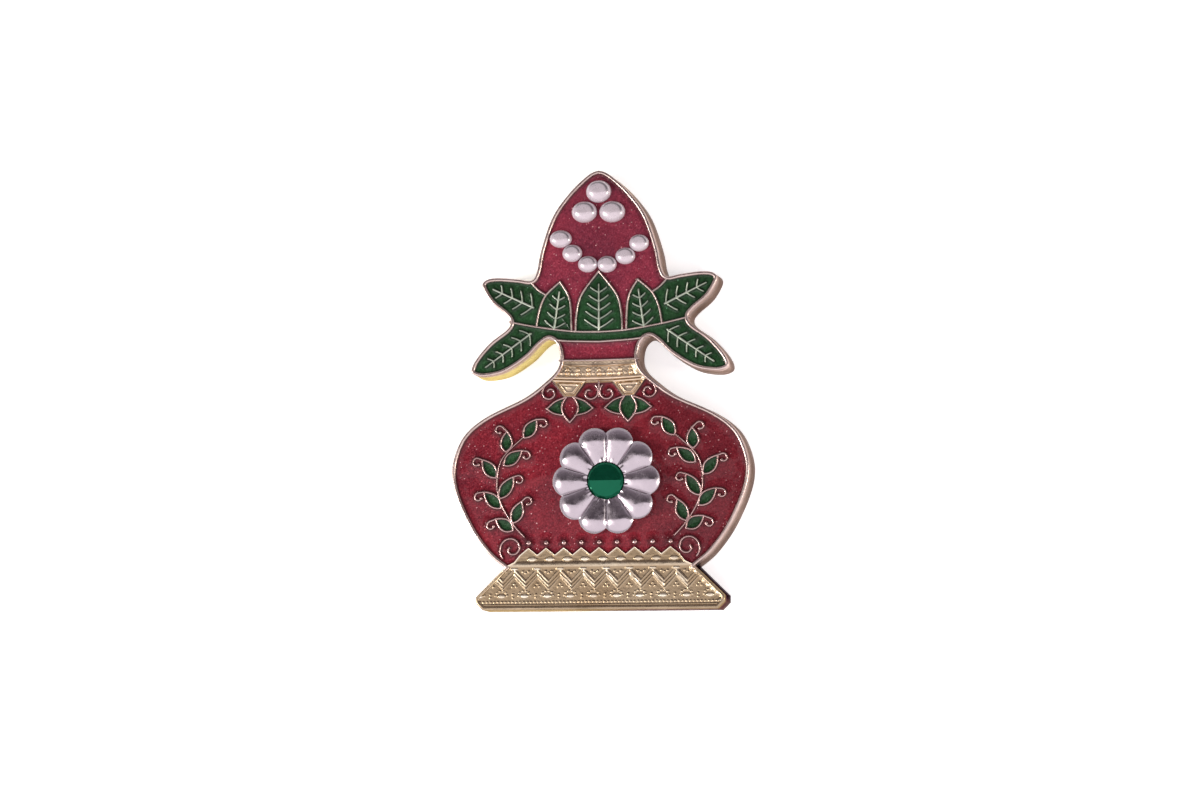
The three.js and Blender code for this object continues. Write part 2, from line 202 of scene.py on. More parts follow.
vine_stem = smooth([(11.2, -21.7), (12.9, -19.8), (14.6, -17), (15.35, -13.8), (14.6, -10.2),
                    (11.35, -7)])
# The leaves of the right vine: base, tip, and the centre of the curl that the tip ends in.
vine_leaves = [
    ((11.2, -7.1), (9.38, -4.43), (8.4, -5.07)),
    ((14, -9.1), (13.82, -6.09), (15, -5.9)),
    ((14.3, -11.1), (11.62, -8.98), (10.95, -9.74)),
    ((15.5, -12.9), (17.57, -10.23), (18.42, -10.62)),
    ((14.95, -15.95), (12.86, -12.84), (12.02, -13.3)),
    ((14.75, -17.4), (17.29, -14.99), (18.12, -15.75)),
    ((12.9, -19.6), (11.58, -16.48), (10.65, -16.5)),
    ((12.9, -20.7), (15.47, -19), (16.25, -19.98)),
]
VINE_LEAF = 0.86             # half the width of a vine leaf
CURL = 0.66                  # the radius of its curl


def curl_path(base, tip, centre):
    """The curl at a leaf's tip: straight onto a small circle, then most of the way round it."""
    base, tip, centre = np.array(base), np.array(tip), np.array(centre)
    leaf, away = tip - base, centre - tip
    turn = math.copysign(1, leaf[0] * away[1] - leaf[1] * away[0])
    to_tip = math.atan2(-away[1], -away[0])
    touch = to_tip + turn * math.acos(min(1, CURL / np.linalg.norm(away)))
    start = spiral(centre, CURL, CURL * 0.62, math.degrees(touch), turn * 235)
    return smooth(even(np.vstack([tip, start]), 0.25), 4)


def veins(base, tip, pairs, side_length):
    """A midrib, and pairs of side veins that sweep forward from it and shorten to its tip."""
    base, tip = np.array(base), np.array(tip)
    heading = math.atan2(*(tip - base)[::-1])
    paths = [(np.vstack([base, tip]), VEIN * 1.7, VEIN * 1.1)]
    for i in range(pairs):
        along = (i + 0.1) / pairs
        start = base + (tip - base) * along
        length = side_length * (1 - 0.55 * along)
        for turn in (-1, 1):
            steps = np.linspace(0, 1, 5)[:, None]
            angle = heading + turn * np.radians(66 - 8 * steps)
            reach = np.hstack([np.cos(angle), np.sin(angle)]) * length * steps
            paths.append((start + reach, VEIN * 1.1, VEIN * 0.95))
    return paths


neck_curl = spiral((7.4, -0.55), 1.15, 0.4, 40, -360)
tassel_curl = spiral((1.35, -0.65), 1.35, 0.35, 130, 315)
foot_curl = spiral((13.1, -23.4), 1.9, 0.4, -45, 420)

teeth = range(-4, 5)
LAST_TOOTH = 4.5 * TOOTH_PITCH
tooth_line = np.array([((i + step) * TOOTH_PITCH, TOOTH_BASE + TOOTH_HEIGHT * (step == 0))
                       for i in teeth for step in (-0.5, 0)] + [(LAST_TOOTH, TOOTH_BASE)])
foot_slope = points((LAST_TOOTH, TOOTH_BASE), (LAST_TOOTH + 0.8, WAIST + 0.8), (13.7, WAIST + 0.3))
foot_top = np.vstack([mirrored(foot_slope)[:0:-1], tooth_line, foot_slope[1:]])
pendant = points((7.05, 1.3), (1.95, 1), (3.6, -1.25), (5.2, -1.25))
pendant_edge = np.vstack([pendant, pendant[:1]])
neck_bottom = smooth([(8.4, 1.25), (7, 1.15), (3, 0.85), (0, 0.8)])
BEAD = 0.375                 # the radius of a bead over the teeth
KNOB = 0.27                  # the radius of the knob that a vine's curl ends in
# The small domes on the belly, each with its radius: beads now, and knobs as the curls are drawn.
domes = [(i * TOOTH_PITCH, TOOTH_BASE + TOOTH_HEIGHT + 0.75, BEAD) for i in teeth]

# The raised lines round the cells, the ornament on the belly and the leaf veins: each one's path,
# and its width at its start and end.
lines = []
ornament = []
leaf_veins = []


def draw(path, start=LINE, end=LINE, sides=(1, -1), into=lines):
    for side in sides:
        into.append((path * (side, 1), start, end))


draw(band_top, sides=(1,))
draw(band_bottom, sides=(1,))
draw(both_sides(smooth([(5.9, NECK_TOP), (3, NECK_TOP - 0.06), (0, NECK_TOP - 0.08)])), sides=(1,))
draw(points((0, 0.9), (0, -1.25)), LINE * 1.25, LINE, sides=(1,), into=ornament)
for leaf_edge in (mirrored(centre_leaf_half), inner_leaf_outside, inner_leaf_inside, upper_leaf_base):
    draw(leaf_edge)
for side in (1, -1):
    at = np.array([side * LOTUS_X, 0])
    for edge in (lotus_half, wing_top, wing_bottom):
        draw(edge + at, sides=(1,), into=ornament)
        draw(mirrored(edge) + at, sides=(1,), into=ornament)
draw(vine_stem, LINE * 0.9, LINE * 0.7, into=ornament)
for base, tip, centre in vine_leaves:
    for edge in leaf_sides(base, tip, VINE_LEAF):
        draw(edge, into=ornament)
    curl = curl_path(base, tip, centre)
    draw(curl, LINE * 0.95, LINE * 1.05, into=ornament)
    domes += [(side * curl[-1, 0], curl[-1, 1], KNOB) for side in (1, -1)]
for curl in (neck_curl, tassel_curl, foot_curl):
    draw(curl, LINE * 0.95, LINE * 1.1, into=ornament)
for path, start, end in veins((0, 8.7), (0, 15.35), 5, 2.5):
    draw(path, start, end, sides=(1,), into=leaf_veins)
for base, tip, pairs, reach in (((6.75, 8.9), (5.95, 14.4), 4, 1.8), ((9.9, 12.2), (16, 15.1), 4, 2),
                                ((10.3, 8.3), (17.1, 3.5), 5, 1.65)):
    for path, start, end in veins(base, tip, pairs, reach):
        draw(path, start, end, into=leaf_veins)

# ------------------------------------------------------------------ mesh building


class Shape:
    """Vertices in millimetres, each with a painted shade from 0 to 1, and faces, gathered for one
    piece.
    """

    def __init__(self):
        self.vertices = []
        self.faces = []
        self.shades = []
        self.count = 0

    def add(self, vertices, faces, shades=None):
        self.vertices.append(np.asarray(vertices, float))
        self.shades.append(np.zeros(len(vertices)) if shades is None else np.ravel(shades))
        self.faces.extend([tuple(self.count + i for i in face) for face in faces])
        self.count += len(vertices)

    def rings(self, rings, closed=False, shades=None):
        """A skin over rings of equal length. An open run is capped at both ends."""
        rings = np.asarray(rings)
        n, m = rings.shape[:2]
        faces = []
        for i in range(n if closed else n - 1):
            j = (i + 1) % n
            faces += [(i * m + k, i * m + (k + 1) % m, j * m + (k + 1) % m, j * m + k)
                      for k in range(m)]
        if not closed:
            faces += [tuple(range(m))[::-1], tuple((n - 1) * m + k for k in range(m))]
        self.add(rings.reshape(-1, 3), faces, shades)

    def sheet(self, spots, faces, heights, low, shades):
        """A closed solid under a triangulated surface, with walls down to a flat underside."""
        used = sorted({i for face in faces for i in face})
        place = {i: k for k, i in enumerate(used)}
        faces = [tuple(place[i] for i in face) for face in faces]
        spots, heights = spots[used], heights[used]
        n = len(used)
        edges = {}
        for face in faces:
            for a, b in zip(face, face[1:] + face[:1]):
                edges[(a, b)] = True
        walls = [(b, a, a + n, b + n) for a, b in edges if (b, a) not in edges]
        under = [tuple(i + n for i in face[::-1]) for face in faces]
        upper = np.column_stack([spots, heights])
        lower = np.column_stack([spots, np.full(n, low)])
        self.add(np.vstack([upper, lower]), faces + walls + under, np.tile(shades[used], 2))


def make_piece(name, shape, material, nodes, sharp=40):
    """Makes a finished mesh that rides on the plaque's one body and stands for its CAD nodes."""
    mesh = bpy.data.meshes.new(name)
    mesh.from_pydata((np.vstack(shape.vertices) * MM).tolist(), [], shape.faces)
    # Each vertex's painted shade is stored on the mesh as an attribute that darkens its colour.
    shades = np.concatenate(shape.shades).astype(np.float32)
    mesh.attributes.new("shade", "FLOAT", "POINT").data.foreach_set("value", shades)
    mesh.validate()
    mesh.shade_smooth()
    mesh.set_sharp_from_angle(angle=math.radians(sharp))
    mesh.materials.append(material)
    piece = bpy.data.objects.new(name, mesh)
    bpy.context.scene.collection.objects.link(piece)
    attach(piece, "root")
    if nodes:
        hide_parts(*nodes)


def sweep(shape, path, ring, closed=False, widths=None):
    """Sweeps a closed ring of (across, level) points along a path. Across is to the left."""
    ring = np.asarray(ring, float)
    left = bisectors(path, closed)
    widths = np.ones(len(path)) if widths is None else widths
    across = ring[None, :, 0] * widths[:, None]
    rings = np.empty((len(path), len(ring), 3))
    rings[:, :, :2] = path[:, None, :] + left[:, None, :] * across[:, :, None]
    rings[:, :, 2] = ring[None, :, 1]
    shape.rings(rings[:, ::-1], closed)


def line_ring(width, top=RIM_TOP):
    """The section of a cast line: sloping sides and a rounded crest."""
    half = width / 2
    right = [(half + 0.07, FLOOR_TOP), (half + 0.03, ENAMEL_TOP + 0.02), (half * 0.98, top - 0.14),
             (half * 0.8, top - 0.055), (half * 0.45, top - 0.012), (0, top)]
    return right + [(-x, z) for x, z in right[-2::-1]]


def raised_line(shape, path, start, end, spacing=0.12):
    """A cast line with rounded ends, whose width runs from start to end."""
    path = even(path, spacing)
    mean = (start + end) / 2
    widths = np.linspace(start, end, len(path)) / mean
    for flip in (False, True):
        if flip:
            path, widths = path[::-1], widths[::-1]
        ahead = path[-1] - path[-2]
        ahead = ahead / np.linalg.norm(ahead)
        turns = np.radians([30, 55, 75])[:, None]
        half = mean * widths[-1] / 2
        path = np.vstack([path, path[-1] + ahead * half * np.sin(turns)])
        widths = np.concatenate([widths, widths[-1] * np.cos(turns[:, 0])])
    sweep(shape, path, line_ring(mean), widths=widths)


# ------------------------------------------------------------------ materials


def socket(node, name, value):
    node.inputs[name].default_value = value


class Finish:
    """A material around one Principled shader, with short ways to add nodes to it."""

    def __init__(self, name, **sockets):
        self.material = bpy.data.materials.new(name)
        self.material.use_nodes = True
        self.nodes = self.material.node_tree.nodes
        self.links = self.material.node_tree.links
        self.shader = self.nodes["Principled BSDF"]
        for key, value in sockets.items():
            socket(self.shader, key.replace("_", " "), value)
        self.place = self.nodes.new("ShaderNodeTexCoord").outputs["Object"]

    def link(self, source, node, name):
        self.links.new(source, node.inputs[name])

    def noise(self, scale, detail=4, roughness=0.6):
        node = self.nodes.new("ShaderNodeTexNoise")
        socket(node, "Scale", scale)
        socket(node, "Detail", detail)
        socket(node, "Roughness", roughness)
        self.link(self.place, node, "Vector")
        return node.outputs["Fac"]

    def cells(self, scale, output="Color"):
        node = self.nodes.new("ShaderNodeTexVoronoi")
        socket(node, "Scale", scale)
        self.link(self.place, node, "Vector")
        return node.outputs[output]

    def ramp(self, source, *stops):
        node = self.nodes.new("ShaderNodeValToRGB")
        self.link(source, node, "Fac")
        elements = node.color_ramp.elements
        while len(elements) < len(stops):
            elements.new(0.5)
        for element, (position, color) in zip(elements, stops):
            element.position = position
            element.color = (*color, 1) if len(color) == 3 else color
        return node.outputs["Color"]

    def attribute(self, name):
        node = self.nodes.new("ShaderNodeAttribute")
        node.attribute_name = name
        return node.outputs["Fac"]

    def along(self, axis):
        """The position along one axis of the plaque, in metres."""
        node = self.nodes.new("ShaderNodeSeparateXYZ")
        self.link(self.place, node, "Vector")
        return node.outputs[axis]

    def scaled(self, source, low, high, start=0, end=1):
        """Maps a value from one range to another."""
        node = self.nodes.new("ShaderNodeMapRange")
        self.link(source, node, "Value")
        for name, value in (("From Min", start), ("From Max", end), ("To Min", low), ("To Max", high)):
            socket(node, name, value)
        return node.outputs["Result"]

    def tinted(self, tone, dark, light, change=None):
        """A colour between two tones. It may change to two others along an axis."""
        tint = self.ramp(tone, (0.3, dark), (0.7, light))
        if change is None:
            return tint
        axis, start, end, other_dark, other_light = change
        part = self.scaled(self.along(axis), 0, 1, start * MM, end * MM)
        return self.mix(part, tint, self.ramp(tone, (0.3, other_dark), (0.7, other_light)))

    def mix(self, fac, a, b, mode="MIX"):
        node = self.nodes.new("ShaderNodeMix")
        node.data_type = "RGBA"
        node.blend_type = mode
        for key, value in (("Factor", fac), ("A", a), ("B", b)):
            wanted = [s for s in node.inputs if s.name == key and s.enabled]
            if isinstance(value, bpy.types.NodeSocket):
                self.links.new(value, wanted[0])
            elif isinstance(value, tuple):
                wanted[0].default_value = (*value, 1)
            else:
                wanted[0].default_value = value
        return [s for s in node.outputs if s.name == "Result" and s.enabled][0]

    def bump(self, source, distance, strength=1.0, normal=None):
        node = self.nodes.new("ShaderNodeBump")
        socket(node, "Strength", strength)
        socket(node, "Distance", distance)
        self.link(source, node, "Height")
        if normal is not None:
            self.link(normal, node, "Normal")
        return node.outputs["Normal"]

    def set(self, name, source):
        self.link(source, self.shader, name)


def plated(name, dark, light, roughness=0.24, grain=1.0, change=None, painted_shade_tone=None):
    """Thin gold plating over a cast body: tinted, a little uneven, with fine scratches and pits.
    Its tone may change along an axis between two places, and may be multiplied by a colour for painted
    shade where the shade attribute is set."""
    finish = Finish(name, Metallic=1.0)
    tint = finish.tinted(finish.noise(180, 5), dark, light, change)
    # Painted shade: the shade attribute multiplies the tone by the given colour.
    if painted_shade_tone:
        tint = finish.mix(finish.attribute("shade"), tint, painted_shade_tone, "MULTIPLY")
    finish.set("Base Color", tint)
    finish.set("Specular Tint", tint)
    worn = finish.scaled(finish.noise(900, 3), roughness * 0.75, roughness * 1.35, 0.3, 0.7)
    finish.set("Roughness", worn)
    casting = finish.bump(finish.noise(600, 3), 0.0001 * grain, 0.55)
    finish.set("Normal", finish.bump(finish.noise(3500, 2), 0.00001 * grain, 0.6, casting))
    return finish.material


FLAKE_TILT = 0.17            # how far a glitter flake leans, as a slope


def enamel(name, deep, bright, speck, cover, change=None):
    """Clear coloured enamel with fine glitter over the metal floor, under a poured glossy skin."""
    finish = Finish(name, Metallic=0.35, Coat_Weight=0.3, Coat_Roughness=0.03, Coat_IOR=1.5,
                    Specular_IOR_Level=0.2)
    base = finish.tinted(finish.noise(130, 5, 0.65), deep, bright, change)
    fine = finish.noise(2600, 2)
    base = finish.mix(0.35, base, finish.tinted(fine, deep, bright, change))
    flakes = finish.cells(6500)
    sparse = finish.scaled(flakes, 0, 1, cover, cover + 0.03)
    # Painted shade: the shade attribute darkens the colour towards a deep tone.
    shadow = finish.scaled(finish.attribute("shade"), 0, 0.75)
    glitter = finish.mix(sparse, base, speck)
    finish.set("Base Color", finish.mix(shadow, glitter, tuple(c * 0.2 for c in deep)))
    finish.set("Roughness", finish.scaled(finish.noise(2200, 2), 0.25, 0.5, 0.3, 0.7))
    tilt = finish.nodes.new("ShaderNodeVectorMath")
    tilt.operation = "MULTIPLY_ADD"
    finish.link(flakes, tilt, 0)
    tilt.inputs[1].default_value = (2 * FLAKE_TILT,) * 3
    tilt.inputs[2].default_value = (-FLAKE_TILT,) * 3
    tipped = finish.nodes.new("ShaderNodeVectorMath")
    tipped.operation = "ADD"
    finish.link(finish.nodes.new("ShaderNodeNewGeometry").outputs["Normal"], tipped, 0)
    finish.link(tilt.outputs["Vector"], tipped, 1)
    level_out = finish.nodes.new("ShaderNodeVectorMath")
    level_out.operation = "NORMALIZE"
    finish.link(tipped.outputs["Vector"], level_out, 0)
    finish.set("Normal", level_out.outputs["Vector"])
    finish.set("Coat Normal", finish.bump(finish.noise(260, 2), 0.00012, 0.25))
    return finish.material


def foiled_stone(name, color, foil, roughness, coat=1.0):
    """A clear stone with a foil back, seen as a bright mirror under a glassy skin."""
    finish = Finish(name, Metallic=foil, Coat_Weight=coat, Coat_Roughness=0.01, Coat_IOR=1.55,
                    Specular_IOR_Level=0.2)
    cloud = finish.noise(400, 3)
    light = tuple(min(1, c * 1.12) for c in color)
    tint = finish.ramp(cloud, (0.3, color), (0.7, light))
    # Painted shade: the shade attribute darkens the colour, as in the cabochons' painted dark crescent.
    shade = finish.scaled(finish.attribute("shade"), 0, 0.85)
    finish.set("Base Color", finish.mix(shade, tint, tuple(c * 0.12 for c in color)))
    worn = finish.scaled(finish.noise(900, 2), roughness * 0.7, roughness * 1.6, 0.3, 0.7)
    finish.set("Roughness", worn)
    finish.set("Normal", finish.bump(finish.noise(500, 2), 0.0002, 0.2))
    return finish.material


FOOT_TONES = ((0.3, 0.23, 0.145), (0.46, 0.36, 0.24))
GOLD_LINE = plated("plated_line", (0.46, 0.355, 0.315), (0.68, 0.55, 0.5), 0.28,
                   change=("Y", WAIST + 0.3, WAIST - 0.7, *FOOT_TONES))
GOLD_ROSE = plated("plated_rose", (0.38, 0.24, 0.22), (0.68, 0.48, 0.45), 0.24, 1.4)
GOLD_VEIN = plated("plated_vein", (0.34, 0.4, 0.31), (0.7, 0.76, 0.63), 0.34)
# The relief's bright tones stand for painted highlights, and the multiplier gives its lower ground
# painted shade.
GOLD_RELIEF = plated("plated_relief", (0.6, 0.47, 0.32), (0.95, 0.76, 0.56), 0.33, 1.2,
                     painted_shade_tone=(0.77, 0.76, 0.74))
GOLD_FOOT = plated("plated_foot", (0.85, 0.73, 0.53), (1, 0.94, 0.76), 0.3, 1.3,
                   painted_shade_tone=(0.38, 0.315, 0.25))
# Painted reflection: the back plate's tone turns darker and pinker towards the right, and the shade
# attribute paints a dark maroon reflection on the foot's walls.
GOLD_PLATE = plated("plated_back", (0.62, 0.52, 0.26), (0.84, 0.74, 0.42), 0.3,
                    change=("X", -6, 6, (0.3, 0.238, 0.21), (0.43, 0.34, 0.3)),
                    painted_shade_tone=(0.25, 0.13, 0.23))
BOND = Finish("bond_dark", Base_Color=(0.02, 0.016, 0.014, 1), Roughness=0.7)
BOND.set("Normal", BOND.bump(BOND.noise(1500), 0.00004, 0.6))
RED = enamel("enamel_red", (0.1, 0.007, 0.016), (0.285, 0.016, 0.027), (1, 0.55, 0.55), 0.915,
             change=("Y", 0, 8, (0.125, 0.018, 0.038), (0.325, 0.036, 0.062)))
GREEN = enamel("enamel_green", (0.01, 0.034, 0.01), (0.02, 0.092, 0.027), (0.2, 0.55, 0.3), 0.94)
CLEAR = foiled_stone("crystal_clear", (0.47, 0.415, 0.445), 1.0, 0.19)
PEARLY = foiled_stone("crystal_pearly", (0.6, 0.53, 0.565), 0.3, 0.25, coat=0.7)
EMERALD = foiled_stone("crystal_green", (0.006, 0.105, 0.053), 0.75, 0.08, coat=0.04)

# ------------------------------------------------------------------ casting


def build_plates():
    """The back plate, and the thin dark film that bonds the front casting to it."""
    edge = 0.14
    back = Shape()
    levels = [(0.5, 0.0), (edge, 0.0), (0.04, 0.05), (0, edge), (0.1, PLATE_TOP - edge),
              (0.14, PLATE_TOP - 0.04), (0.24, PLATE_TOP), (0.5, PLATE_TOP)]
    rings = np.array([[(*spot, z) for spot in offset(silhouette, inset)] for inset, z in levels])
    x, y = silhouette.T
    # Painted shade and a painted dark maroon reflection on the foot's walls, most of all on the slanted
    # one at its right.
    dark = np.where((x > 13.9) & (y < WAIST + 0.01) & (y > BOTTOM + 2), 1, 0.5 * (y < WAIST - 1))
    back.rings(rings, shades=[dark * (0.02 < z < PLATE_TOP) for _, z in levels])
    make_piece("plate_back", back, GOLD_PLATE, ["back_plate"])
    film = Shape()
    film.rings(np.array([[(*spot, z) for spot in offset(face, 0.2)] for z in (PLATE_TOP, FILM_TOP)]))
    make_piece("film_bond", film, BOND.material, ["bond_film"])


def cast_dome(shape, x, y, radius):
    """A small dome that stands on the casting's floor."""
    levels = ((1.08, FLOOR_TOP), (1.03, ENAMEL_TOP), (1, ENAMEL_TOP + 0.08), (0.88, RIM_TOP - 0.14),
              (0.65, RIM_TOP - 0.05), (0.35, RIM_TOP - 0.008), (0.08, RIM_TOP))
    turn = np.linspace(0, 2 * np.pi, 25)[:-1]
    shape.rings([[(x + radius * part * math.cos(a), y + radius * part * math.sin(a), z) for a in turn]
                 for part, z in levels])


def build_casting():
    """The front casting's rim, floor, lines, veins and domes."""
    shape = Shape()
    wall = 0.75
    ring = [(0, FILM_TOP), (wall, FILM_TOP), (RIM + 0.06, ENAMEL_TOP), (RIM, RIM_TOP - 0.14),
            (RIM - 0.07, RIM_TOP - 0.045), (RIM - 0.17, RIM_TOP - 0.005), (RIM / 2, RIM_TOP),
            (0.14, RIM_TOP - 0.012), (0.05, RIM_TOP - 0.05), (0, RIM_TOP - 0.13)]
    sweep(shape, face, ring, closed=True)
    floor = offset(face, 0.3)
    shape.rings(np.array([[(*spot, z) for spot in floor] for z in (FILM_TOP, FLOOR_TOP)]))
    for path, start, end in lines:
        raised_line(shape, path, start, end)
    make_piece("casting_front", shape, GOLD_LINE, ["front_casting"])
    for name, material, paths, round_spots in (("ornament", GOLD_ROSE, ornament, domes),
                                               ("veins", GOLD_VEIN, leaf_veins, [])):
        shape = Shape()
        for path, start, end in paths:
            raised_line(shape, path, start, end)
        for x, y, radius in round_spots:
            cast_dome(shape, x, y, radius)
        make_piece(f"casting_{name}", shape, material, [])


def distance_to(path, spots):
    """The distance from each spot to a polyline."""
    a, b = path[:-1], path[1:]
    run = b - a
    t = ((spots[:, None] - a) * run).sum(axis=2) / np.maximum((run**2).sum(axis=1), 1e-12)
    near = a + np.clip(t, 0, 1)[:, :, None] * run
    return np.linalg.norm(spots[:, None] - near, axis=2).min(axis=1)


def tree_of(spots):
    tree = kdtree.KDTree(len(spots))
    for i, (x, y) in enumerate(spots):
        tree.insert((x, y, 0), i)
    tree.balance()
    return tree


def apart(tree, spots):
    """How far each spot is from the nearest one in a tree."""
    return np.array([tree.find((x, y, 0))[2] for x, y in spots])


def bulge(distance, half_width, height):
    """A rounded ridge over a line, from the distance to it."""
    return height * np.sqrt(np.clip(1 - (distance / half_width) ** 2, 0, 1))


def tent(distance, half_width, height):
    """A ridge with straight sides."""
    return height * np.clip(1 - distance / half_width, 0, 1)


def right_fillet(spots, x_from, width, height):
    """A slope that climbs to the rim at the right end of a relief area, in broken steps."""
    x, y = spots.T
    away = apart(tree_of(even(face, 0.05, closed=True)), spots) - RIM
    broken = 0.75 + 0.25 * np.sin(6 * y) * np.sin(4 * x)
    beside = (x > x_from) & (y > BOTTOM + 1.2)
    return np.where(beside, tent(np.maximum(away, 0), width, height) * broken, 0)


def dots(x, y, centres, radius, height):
    """Small domes at a list of centres."""
    rise = np.zeros(len(x))
    for cx, cy in centres:
        rise = np.maximum(rise, bulge(np.hypot(x - cx, y - cy), radius, height))
    return rise


def facets(x, y, centres, half_length, half_width, height):
    """Low ovals with flat tops at a list of centres. Some are lower than others."""
    rise = np.zeros(len(x))
    for cx, cy in centres:
        away = np.hypot((x - cx) / half_length, (y - cy) / half_width)
        worn = 0.9 + 0.1 * math.sin(5 * cx + 2 * cy)
        rise = np.maximum(rise, height * worn * np.clip(2.2 - 2.2 * away, 0, 1))
    return rise


def triangulated(free, borders, tolerance=1e-4):
    """Triangles through free spots, with their edges along the borders. Also each one's middle."""
    spots, edges = [free], []
    count = len(free)
    for border in borders:
        n = len(border)
        spots.append(border)
        edges += [(count + i, count + (i + 1) % n) for i in range(n)]
        count += n
    flat = [Vector(p) for p in np.vstack(spots)]
    found, _, faces, *_ = delaunay_2d_cdt(flat, edges, [], 0, tolerance)
    found = np.array([tuple(p) for p in found])
    faces = [tuple(face) for face in faces]
    return found, faces, found[np.array(faces)].mean(axis=1)


def staggered(low, high, step):
    """A staggered grid of spots."""
    xs, ys = (np.arange(a, b, step) for a, b in zip(low, high))
    return np.array([(x + (j % 2) * step / 2, y) for j, y in enumerate(ys) for x in xs])


def relief(name, outline, height, material, step=0.09):
    """A cast relief area: a dense surface inside an outline and the rim, formed by a function. Its
    colour is painted lighter on its highest spots, as painted highlights, and darker below them, as
    painted shade."""
    outline = even(outline, step, closed=True)
    trim = even(offset(face, 0.22), step, closed=True)
    grid = staggered(outline.min(axis=0), outline.max(axis=0), step)
    grid = grid[inside(grid, outline) & inside(grid, trim)]
    grid = grid[apart(tree_of(np.vstack([outline, trim])), grid) > step * 0.5]
    found, faces, middles = triangulated(grid, [outline, trim])
    keep = inside(middles, outline) & inside(middles, trim)
    heights = height(found)
    # Painted shade and highlights: the lower a spot, the darker its colour; the highest spots keep the
    # bright tone.
    shades = np.clip((RELIEF + 0.3 - heights) / 0.1, 0, 1)
    shape = Shape()
    shape.sheet(found, [face for face, kept in zip(faces, keep) if kept], heights, FLOOR_TOP, shades)
    make_piece(name, shape, material, [], sharp=60)


RELIEF = RIM_TOP - 0.36      # the lowest ground of the relief areas


def foot_height(spots):
    """The foot's pattern: teeth, a plain band, a woven zigzag, shells, beads and two ridges."""
    x, y = spots.T
    pitch, first = 3.44, 1.08
    ground = 0.03 + 0.015 * np.sin(9 * x + 4 * y) * np.sin(7 * y - 3 * x)
    z = np.where(y > TOOTH_BASE - 0.3, 0.14, ground)
    z = np.maximum(z, bulge(distance_to(foot_top, spots), 0.2, 0.33))
    under_teeth = [(i * TOOTH_PITCH + 0.55, TOOTH_BASE - 0.62) for i in teeth]
    z = np.maximum(z, facets(x, y, under_teeth, 0.95, 0.4, 0.33))
    z = np.maximum(z, 0.08 + bulge(np.abs(y - WAIST - 0.36), 0.5, 0.16))
    peaks = [first + k * pitch for k in range(-6, 6)]
    high, low = WAIST - 0.75, WAIST - 2.6
    z = np.maximum(z, facets(x, y, [(peak, WAIST - 0.2) for peak in peaks], 0.85, 0.22, 0.33))
    # The woven zigzag is a flat ribbon with rolled edges, crossed by fine strokes.
    phase = ((x - first) / pitch) % 1
    slope = 2 * (high - low) / pitch
    away = np.abs(y - low - (high - low) * np.abs(2 * phase - 1)) / math.hypot(1, slope)
    falling = phase < 0.5
    strokes = 0.03 * np.sin(np.where(falling, 11 * (x + y), 11 * (x - y)))
    z = np.maximum(z, np.where(away < 0.42, 0.16 + np.where(falling, 0.06, 0) + strokes, 0))
    z = np.maximum(z, bulge(np.abs(away - 0.4), 0.1, 0.23))
    worn = 0.8 + 0.2 * np.sin(3 * x + 5 * y) * np.sin(2.3 * x + 1)
    z = np.maximum(z, np.where(falling, tent(away, 0.3, 0.33) * worn, 0))
    under_peaks = [(peak + dx, low + dy) for peak in peaks
                   for dx, dy in ((0, 0.2), (-0.3, -0.2), (0.3, -0.2))]
    z = np.maximum(z, dots(x, y, under_peaks, 0.19, 0.24))
    over_valleys = [(peak + pitch / 2 + dx, high + dy) for peak in peaks
                    for dx, dy in ((0, -0.05), (-0.45, 0.15), (0.45, 0.15))]
    z = np.maximum(z, dots(x, y, over_valleys, 0.19, 0.24))
    # Shells: a low boss under a fan of small dots.
    for peak in peaks:
        cx, cy = peak + 1.5, WAIST - 4.2
        z = np.maximum(z, facets(x, y, [(cx, cy)], 0.85, 0.38, 0.34))
        fan = [(cx + 0.85 * math.cos(a), cy + 0.12 + 0.66 * math.sin(a))
               for a in np.radians(range(0, 181, 36))]
        z = np.maximum(z, dots(x, y, fan, 0.17, 0.27))
        z = np.maximum(z, dots(x, y, [(peak - 0.2, cy + 0.25), (peak - 0.2, cy - 0.2)], 0.2, 0.22))
    beads_below = [((k + 0.5) * 0.55, WAIST - 5.05) for k in range(-36, 36)]
    z = np.maximum(z, dots(x, y, beads_below, 0.19, 0.24))
    for ridge in (-5.45, -5.75):
        z = np.maximum(z, 0.12 + bulge(np.abs(y - WAIST - ridge), 0.12, 0.07))
    z = np.maximum(z, right_fillet(spots, 12, 0.7, 0.33))
    return RELIEF + np.minimum(z, 0.35)


def neck_height(spots):
    """The neck band: a flat step, two rows of dots in a hollow, a roll, a groove and a bead."""
    x, y = spots.T
    y = y + 0.12 - 0.16 * (x / 6) ** 2
    z = np.where(y > 3.45, 0.22, 0.03) + 0.01 * np.sin(9 * x) * np.sin(13 * y)
    z = np.maximum(z, bulge(np.abs(y - 3.48), 0.13, 0.31))
    z = np.maximum(z, dots(x, y, [(k * 1.58, 2.84) for k in range(-4, 5)], 0.25, 0.27))
    z = np.maximum(z, dots(x, y, [(k * 1.58, 2.27) for k in range(-4, 5)], 0.36, 0.36))
    z = np.maximum(z, dots(x, y, [((k + 0.5) * 1.58, 2.3) for k in range(-5, 5)], 0.17, 0.18))
    z = np.maximum(z, bulge(np.abs(y - 1.62), 0.3, 0.31))
    z = np.where(np.abs(y - 1.18) < 0.12, 0, z)
    z = np.maximum(z, right_fillet(spots, 4, 0.8, 0.35))
    return RELIEF + np.maximum(z, bulge(np.abs(y - 0.9), 0.17, 0.34))


